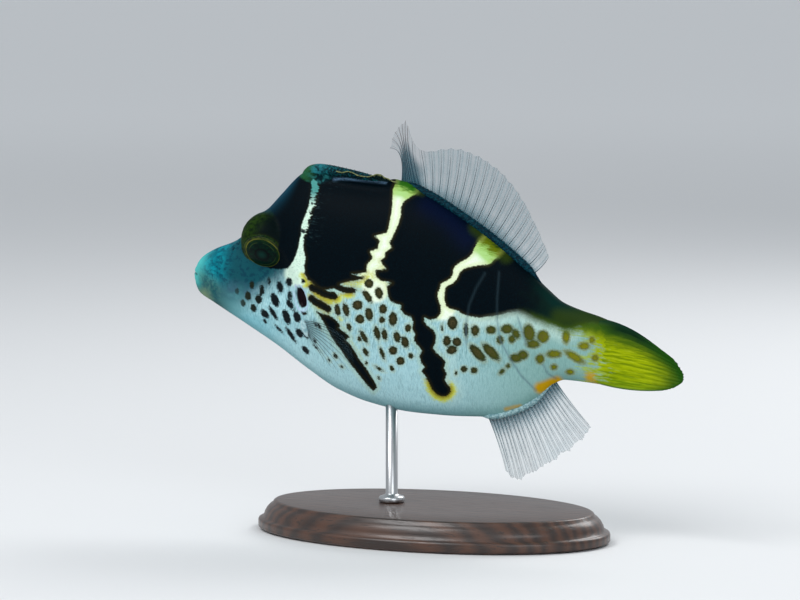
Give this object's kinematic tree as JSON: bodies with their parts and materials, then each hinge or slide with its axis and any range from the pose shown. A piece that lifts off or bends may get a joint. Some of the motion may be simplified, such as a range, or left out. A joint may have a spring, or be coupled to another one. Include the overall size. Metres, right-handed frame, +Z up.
{
  "type": "mimic filefish",
  "caption": "Life-size mimic filefish with a dark saddled back, turreted eyes, small lipped mouth, folded back spine and rayed fins, held above an oval wooden base by an upright rod.",
  "frame": {"origin": "middle of the flat underside of the stand, at the level of the table", "axes": "+X from the head towards the tail, +Y towards the fish's right side, +Z up"},
  "size_m": [0.0896, 0.038, 0.0672],
  "materials": {
    "skin": "satin skin with minute prickles, black saddles and brown spots on bluish white",
    "eye": "wet gloss",
    "fin": "clear membrane with fine rays",
    "tail": "satin, folded rays",
    "stand_base": "dark stained, satin varnish",
    "stand_rod": "brushed"
  },
  "bodies": {
    "root": {"head": "skin", "trunk": "skin", "belly": "skin", "peduncle": "skin", "eye_left": "eye", "eye_right": "eye", "dorsal_spine": "skin", "dorsal_fin": "fin", "anal_fin": "fin", "pectoral_fin_left": "fin", "pectoral_fin_right": "fin", "tail_fin": "tail", "stand_base": "stand_base", "stand_rod": "stand_rod"}
  },
  "joints": []
}
